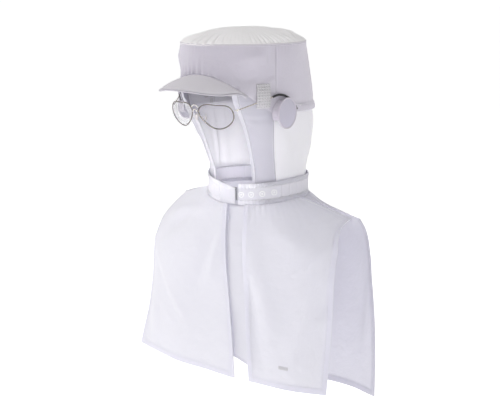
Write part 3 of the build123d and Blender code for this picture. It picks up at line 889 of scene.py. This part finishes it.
# ---- spectacle loops and ear covers
def make_loops():
    u, v = lattice(31, 67)
    rise = 1.0 + (2.4 + 2.2 * np.sin(pi * u)) * np.sin(pi * v) ** 0.8
    p = cap(mix(53.5, 65.5, u), mix(36.0, 2.0, v), rise)
    p = raised(p, 0.3 * np.cos(u * 10 * pi) * np.cos(v * 22 * pi))
    both_sides("loop", p, KNIT, "loop_cloth", "glasses_loop", ["cap_front"],
               stitch("top bottom", 1.6) + stitch("top bottom", 3.2))


def ear_circle(r, turn):
    return EAR_Y + r * np.cos(turn), EAR_Z + r * np.sin(turn)


def make_ear_covers():
    turn, share = disc(14, 96)
    for side, sign in (("left", 1), ("right", -1)):
        p = point(sign * (EAR_X + 0.9), *ear_circle(share * (EAR_R - 1.6), turn * sign))
        p = raised(p, 0.7 * (1 - share**2) + ripple(p, 26, 0.16, 71), wrap=True)
        sew(f"{side}_ear_disc", p, MESH, "ear_mesh_cloth", [f"{side}_ear_mesh"],
            [f"{side}_ear_hem"], wrap=True, grain=closed(p)[..., 1:] * MM, pole=True,
            flat=(0.043, 0.043), body=f"{side}_ear_cover")
        ring = np.linspace(0, 2 * pi, 96, endpoint=False) * sign
        line = point(sign * (EAR_X + 1.0), *ear_circle(EAR_R - EAR_HEM_R, ring))
        puffed = EAR_HEM_R + 0.05 * gathers(np.arange(96) * 1.4, 5.0, 72)
        hem = tube(f"{side}_ear_hem", line, puffed, wrap=True)
        place_piece(hem, "ear_binding", f"{side}_ear_cover", [f"{side}_ear_rim"])
    u, v = lattice(40, 7)
    y, z = ear_circle(EAR_R - 1.5, np.radians(mix(205, 112, u)))
    wall = CAP_SIDE[0] * np.sqrt(1 - (y / CAP_FRONT[0]) ** 2)
    p = point(mix(EAR_X - 0.4, wall + 1.2, v), y, z)
    p = raised(p, 0.35 * gathers(u * 34, 5.0, 73) * np.sin(pi * v))
    both_sides("ear_wall", p, DOUBLE, "ear_binding", "ear_gusset", ["cap_front"])


# ---- neck band
def frontness(angle):
    return np.maximum(0.0, np.cos(np.radians(angle))) ** 2


def band(start, stop, heights, pitch=1.6, lines=9):
    """Grid of part of the band; heights gives its own upper and lower edge from the band's two."""
    columns = max(8, int((stop - start) * NECK_RUN / pitch))
    angle, v = lattice(np.linspace(start, stop, columns), lines)
    high, low = heights(mix(*BAND_TOP, frontness(angle)), mix(*BAND_BOTTOM, frontness(angle)))
    x, y = oval(NECK_A, NECK_B, NECK_B, angle, NECK_Y)
    return angle, v, point(x, y, mix(high, low, v))


def between_casings(top, bottom):
    return top - CASING + 0.9, bottom + CASING - 0.9


def make_neck():
    last = 360 + TAB_ROOT - 0.3
    for name, heights, inner in (
            ("top_casing", lambda top, bottom: (top, top - CASING), "bottom"),
            ("bottom_casing", lambda top, bottom: (bottom + CASING, bottom), "top")):
        angle, v, p = band(GAP_END, last, heights, pitch=0.9)
        turn = np.abs(turned(angle))
        drawn = 0.45 + 0.55 * (1 - ramp(turn, 34, 52))
        puff = 0.75 * np.sin(pi * v) ** 0.8
        puff += 0.8 * drawn * gathers(angle * NECK_RUN, 4.8, 81) * (0.35 + 0.65 * np.sin(pi * v))
        p = raised(p, puff - 0.4)
        p[..., 2] += 0.35 * drawn * gathers(angle * NECK_RUN, 4.2, 82)
        # the casing is marked for painted shade from the front round towards the back
        sew(name, p, CASED, "casing", ["band_" + name],
            ["elastic_band", "snap_strip", "right_strip"], stitch(inner, 0.9), fold=ramp(turn, 24, 46))
    angle, _, p = band(TONGUE_START, TAPE_END, between_casings)
    under = 1 - ramp(angle, GAP_START + 0.5, GAP_END + 2)
    p = raised(p, -0.2 - 2.6 * under + ripple(p, 30, 0.15, 83))
    # the tucked-under tongue is marked for painted shadow
    sew("snap_strip", p, WEBBING, "neck_tape", ["snap_tape"], ["hood_drape"],
        stitch("left right", 1.6), fold=under, material="snap_tape_cloth")
    angle, _, p = band(TAPE_END + 0.2, 360 - TAPE_END, between_casings, pitch=1.1, lines=11)
    arc = (angle - TAPE_END) * 1.32
    cells = np.abs((arc / 15.0 + 0.5) % 1.0 - 0.5) * 15.0
    p = raised(p, 0.3 * np.sin(2 * pi * arc / 3.0) - 1.1 * bell(cells, 1.1) - 0.2)
    sew("elastic_band", p, WEBBING, "elastic", ["neck_elastic"], ["hood_drape"])
    _, _, p = band(360 - TAPE_END + 0.2, last, between_casings)
    p = raised(p, -0.2 + ripple(p, 30, 0.15, 84))
    sew("right_strip", p, WEBBING, "neck_tape", ["right_neck_tape"], ["hood_drape"],
        stitch("left", 1.6))
    angle, v, p = band(TAB_ROOT + 0.3, GAP_START, lambda *both: both, pitch=0.9, lines=29)
    free = (angle - TAB_ROOT) / (GAP_START - TAB_ROOT)
    p[..., 2] -= TAB_SLOPE * np.clip(free, 0, 1) * (1 - v)
    tall = BAND_TOP[0] - BAND_BOTTOM[0]
    rolled = bell(v * tall - 3.2, 2.6) + bell(tall - v * tall - 3.2, 2.6)
    p = raised(p, 0.7 * rolled + 0.3 * gathers(angle * NECK_RUN, 5.0, 85) * rolled - 0.3)
    sew("tab_cloth", p, WEBBING, "neck_tape", ["neck_tab"], ["right_strip"],
        stitch("right", 1.8) + stitch("top bottom", 6.6), body="tab")


# ---- cape
CAPE_ROWS = stitch("left right bottom", HEM - 1.2) + stitch("top", 2.0)


def cape_depth(x, centre, edge_x, edge_y):
    return mix(centre, edge_y, np.minimum(1.0, np.abs(x) / edge_x) ** CAPE_TURN)


def neck_line(angle):
    x, y = oval(NECK_A, NECK_B, NECK_B, angle, NECK_Y, 1.4)
    return point(x, y, mix(*BAND_BOTTOM, frontness(angle)) - 0.9)


def drop_height(share):
    """Height where the cape starts to hang: at the crease in the middle, at the tip by the slit."""
    return mix(CREASE_Z, TIP_Z, ramp(share, 0.45, 1.0) ** 1.5)


def hung(neck, hang, bow, share):
    """One smooth grid from the yoke's straight run and the hanging part, rounded where they meet."""
    fold = hang(np.zeros(1))
    steps = np.linspace(0, 1, YOKE_ROWS)[:, None, None]
    yoke = neck + (fold - neck) * steps
    yoke[..., 2] += (4 * steps * (1 - steps))[..., 0] * bow
    down = ticks(np.ptp(hang(np.linspace(0, 1, 2))[..., 2]), 3.2, last=HEM)[1:]
    p = np.concatenate([yoke, hang(down)])
    depth = lengths(p, 0)
    bend = bell(depth - depth[YOKE_ROWS - 1], 34) * (1 - ramp(share, 0.84, 1.0))
    for _ in range(60):
        pulled = (p[:-2] + p[2:]) / 2 - p[1:-1]
        p[1:-1] += 0.5 * pulled * bend[1:-1, :, None]
    return p


def front_sheet(side):
    sign, column, neck_start = (1, 1, 17.5) if side == "left" else (-1, 0, -2.4)
    across = ticks(170, 3.4, first=HEM, last=HEM)
    neck = neck_line(mix(neck_start, sign * SLIT_TURN, across))[None]

    def hang(down):
        t = down[:, None]
        z = mix(drop_height(across)[None], FRONT_HEM_Z, t)
        start, (centre, edge, edge_y) = smooth(CLOSURE, z)[column], smooth(FRONT, z)
        drawn = ramp(z, -208, -168) if side == "left" else 0.0
        edge = edge - SLIT_DRAWN[0] * drawn
        x = mix(start, sign * edge, across[None])
        return point(x, cape_depth(x, centre, edge, edge_y - SLIT_DRAWN[1] * drawn), z)
    p = hung(neck, hang, mix(10, 1.0, across**2), across[None])
    return p if side == "left" else p[:, ::-1]


FRONT_FOLDS = {
    "left": [((46, -56, -158), (100, -62, -335), 15, 2.4), ((70, -48, -160), (152, -20, -222), 20, 2.2),
             ((168, 20, -190), (158, -32, -300), 11, -2.4), ((60, -66, -240), (84, -66, -390), 12, -1.6),
             ((150, -30, -250), (120, -56, -395), 16, 1.5), ((30, -40, -152), (52, -63, -250), 7, 1.0)],
    "right": [((-172, -12, -222), (-58, -69, -335), 8, 2.6),
              ((-168, -18, -240), (-62, -69, -356), 10, -1.8),
              ((-24, -46, -156), (-142, -12, -186), 11, 2.2), ((6, -56, -178), (-14, -70, -262), 7, 1.6),
              ((-60, -44, -160), (-150, -26, -226), 12, -1.8),
              ((-10, -60, -180), (-46, -70, -300), 12, -1.3),
              ((-150, -40, -290), (-138, -46, -400), 14, 1.6)],
}


def cape_slack(p, wavelength, depth, seed):
    """Wide ripples, fuller below the crease, and gathers under the neck seam."""
    height = ripple(p, wavelength, depth, seed) * (0.35 + 0.65 * below_crease(p))
    return height + 1.3 * gathers(lengths(p, 1)[:1], 7.5, seed + 1) * fading(lengths(p, 0), 22)


def below_crease(p):
    return ramp(-p[..., 2], 170, 260)


def make_fronts():
    for side in ("left", "right"):
        p = front_sheet(side)
        height = cape_slack(p, 120, 1.3, 91) + FOLD_DEPTH * ridges(p, FRONT_FOLDS[side])
        height += 1.3 * below_crease(p) * ramp(-p[..., 2], 240, 406) * np.sin(p[..., 0] / 17)
        p = raised(p, height * ramp(lengths(p, 0), -2, 6))
        slit = "right" if side == "left" else "left"
        sew(f"cape_{side}_front", p, SINGLE, "cape_cloth",
            [f"{side}_front_yoke", f"{side}_front_panel"], ["bottom_casing"], CAPE_ROWS,
            hems=(HEMMED, HEM, [slit]), body=f"{side}_front")
        if side == "left":
            make_label(p)


def make_back():
    across = ticks(420, 4.0, first=HEM, last=HEM)
    place = 1 - 2 * across
    share = np.abs(place)
    neck = neck_line(mix(SLIT_TURN, 360 - SLIT_TURN, across))[None]

    def hang(down):
        t = down[:, None]
        z = mix(drop_height(share)[None], mix(*BACK_HEM, 1 - share**2)[None], t)
        centre, edge = smooth(BACK, z)
        x = place[None] * edge
        return point(x, cape_depth(x, centre, edge, BACK_EDGE_Y), z)
    p = hung(neck, hang, mix(11, 1.0, share**2), share[None])
    waves = np.sin(p[..., 0] / 21 + 0.7) * (1 - ramp(share, 0.8, 1.0))
    height = cape_slack(p, 130, 1.6, 95)
    height += 2.4 * below_crease(p) * ramp(-p[..., 2], 220, 430) * waves
    height += ridges(p, [((192, 66, -230), (176, 84, -400), 15, -5.0),
                         ((-178, 66, -190), (-160, 90, -350), 14, -4.0),
                         ((60, 112, -170), (120, 106, -380), 18, 2.4),
                         ((-40, 112, -170), (-80, 112, -400), 20, 2.4)])
    p = raised(p, height * ramp(lengths(p, 0), -2, 6))
    sew("cape_back", p, SINGLE, "cape_cloth", ["back_yoke", "back_panel"], ["bottom_casing"],
        CAPE_ROWS, hems=(HEMMED, HEM, ["left", "right"]), material="shaded_back_cloth", body="back")


def make_placket():
    across, down = lattice(ticks(42, 2.6, first=5, last=5), ticks(222, 3.2, last=6))
    z = mix(PLACKET_TOP, mix(-372, -386, across), down)
    right, left = smooth(CLOSURE, z)
    x = mix(right - 7, left + 9, across)
    above = mix(-64, -36, np.clip((z - CREASE_Z) / 50, 0, 1) ** 1.4) + PLACKET_BEHIND + 0.002 * x * x
    below = cape_depth(x, *smooth(FRONT, np.minimum(z, CREASE_Z))) + PLACKET_BEHIND
    y = np.where(z > CREASE_Z, above, below)
    p = point(x, y, z)
    p = raised(p, ripple(p, 50, 0.6, 97))
    sew("loose_strip", p, MESH, "placket_cloth", ["placket_strip"], ["cape_left_front"],
        stitch("left right bottom", 4.0), hems=(HEMMED, 5.0))


def make_label(front):
    """Blank woven label that lies on the left front's own surface."""
    across, down = lattice(np.linspace(110, 125, 12), np.linspace(-371, -376, 7))
    near = np.hypot(front[..., 0] - across[..., None, None], front[..., 2] - down[..., None, None])
    weight = bell(near, 4.0)
    p = point(across, (weight * front[..., 1]).sum((2, 3)) / weight.sum((2, 3)), down)
    p = raised(p, np.full(across.shape, 0.7))
    sew("blank_label", p, LABEL, "label", ["size_label"], ["cape_left_front"], level=1,
        body="left_front")


# ---- carried-over parts, camera, light and floor
CARRIED = {"gold_metal": "brow_bar nose_bridge", "snap_plastic": "ring_snaps tab_stud"}
CARRIED_PAIRS = {"gold_metal": "pad_arm end_piece hinge_barrel", "pad_silicone": "nose_pad",
                 "rim_metal": "rim", "temple_metal": "temple", "tip_plastic": "temple_tip",
                 "lens": "lens"}


def finish_carried():
    named = [(name, slot) for slot, names in CARRIED.items() for name in names.split()]
    named += [(side + name, slot) for slot, names in CARRIED_PAIRS.items()
              for name in names.split() for side in ("left_", "right_")]
    for name, slot in named:
        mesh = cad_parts[name].data
        mesh.materials.clear()
        mesh.materials.append(MATERIALS[slot])


def make_camera():
    """Looks from the wearer's front left and a little above, from a metre and a half away."""
    azimuth, elevation, distance = radians(37.0), radians(13.0), 1.5
    target = Vector((0, 0.015, -0.165))
    back = Vector((sin(azimuth) * cos(elevation), -cos(azimuth) * cos(elevation), sin(elevation)))
    data = bpy.data.cameras.new("camera")
    data.sensor_width, data.lens = 36.0, 70.2
    camera = new_object("camera", data)
    camera.location = target + back * distance
    camera.rotation_euler = (-back).to_track_quat("-Z", "Y").to_euler()
    bpy.context.scene.camera = camera


# place and aim in metres, size, watts, colour, and the cone that it shines in if that is narrow
LIGHTS = {
    "key": ((-1.4, -0.85, 1.5), (0, 0, -0.15), 0.7, 19, (1.0, 0.99, 0.98)),
    "fill": ((0.85, -1.2, 0.1), (0, 0, -0.05), 0.4, 0.29, (0.99, 0.99, 1.0), 44),
    "opening": ((0.86, -1.14, 0.21), (0.0, -0.055, -0.078), 0.08, 0.017, (1.0, 0.99, 1.0), 6.4),
    "side": ((1.6, 0.2, 1.0), (0, 0, -0.15), 1.2, 0.9, (0.98, 0.98, 1.0)),
    "back": ((0.3, 2.2, 0.5), (0, 0, -0.1), 1.8, 8, (0.98, 0.98, 1.0)),
}


def area_light(name, place, aim, size, power, colour, cone=180):
    data = bpy.data.lights.new(name, "AREA")
    data.spread = radians(cone)
    data.shape, data.size, data.energy, data.color = "DISK", size, power, colour
    light = new_object(name, data)
    light.location = place
    light.rotation_euler = (Vector(aim) - Vector(place)).to_track_quat("-Z", "Y").to_euler()


def make_studio():
    scene = bpy.context.scene
    scene.view_settings.view_transform = "Standard"
    world = bpy.data.worlds.new("studio")
    world.use_nodes = True
    background = world.node_tree.nodes["Background"]
    feed(world.node_tree, background, [("Color", (1.0, 1.0, 1.0, 1)), ("Strength", 0.43)])
    scene.world = world
    for name, settings in LIGHTS.items():
        area_light(name, *settings)
    floor_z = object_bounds()[0].z - 0.16
    side = 300.0
    corners = [(x * side, y * side, floor_z) for x, y in ((-1, -1), (1, -1), (1, 1), (-1, 1))]
    floor = new_mesh("floor", np.array(corners) / MM, [(0, 1, 2, 3)])
    made, tree, shader, place = blank_material("floor_paint", "Object")
    paint = colour_ramp(tree, noise(tree, place, 1.5), (0.93, 0.93, 0.935), (0.95, 0.95, 0.955))
    feed(tree, shader, [("Base Color", paint), ("Roughness", 0.9),
                        ("Emission Color", (1.0, 1.0, 1.0, 1)), ("Emission Strength", 0.62)])
    floor.data.materials.append(made)


make_camera()
make_studio()
face_line, seam_line = curve(FACE_EDGE), curve(CHEEK_SEAM)
make_cap_linings()
make_visor()
make_cap()
make_crown()
make_hood()
make_drape()
make_loops()
make_ear_covers()
make_neck()
make_placket()
make_fronts()
make_back()
finish_carried()
